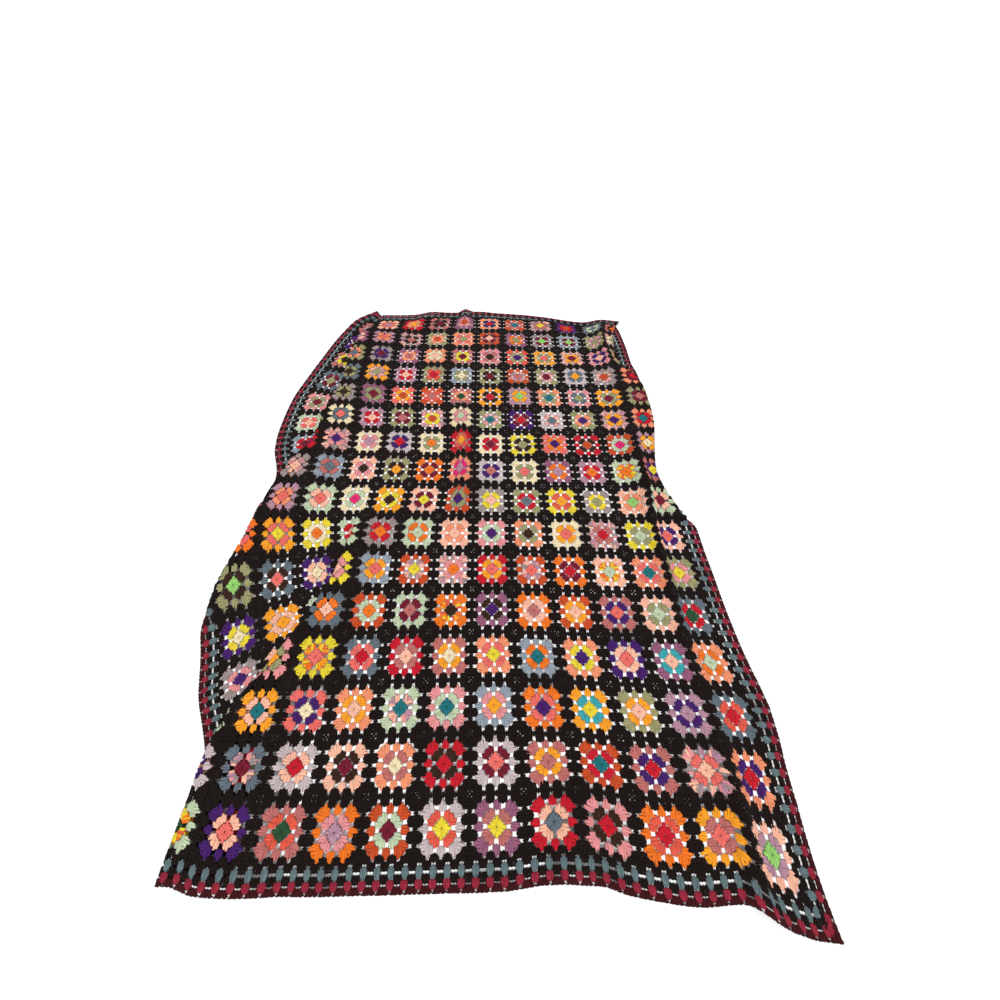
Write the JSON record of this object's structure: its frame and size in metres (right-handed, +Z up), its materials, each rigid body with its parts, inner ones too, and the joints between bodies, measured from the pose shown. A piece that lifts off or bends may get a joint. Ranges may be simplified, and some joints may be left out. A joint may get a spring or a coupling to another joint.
{
  "type": "granny square blanket",
  "caption": "Crocheted blanket of joined granny squares in scrap colours on black with a clustered border, lying loosely spread with its side edges tucked under.",
  "frame": {"origin": "on the surface that the blanket lies on, under the middle of its outline", "axes": "+X across the blanket to its right edge, +Y along it to the head edge, +Z up from the surface"},
  "size_m": [1.2581, 1.7529, 0.0386],
  "materials": {
    "yarn": "matt, woolly"
  },
  "bodies": {
    "root": {"blanket": "yarn"}
  },
  "joints": []
}
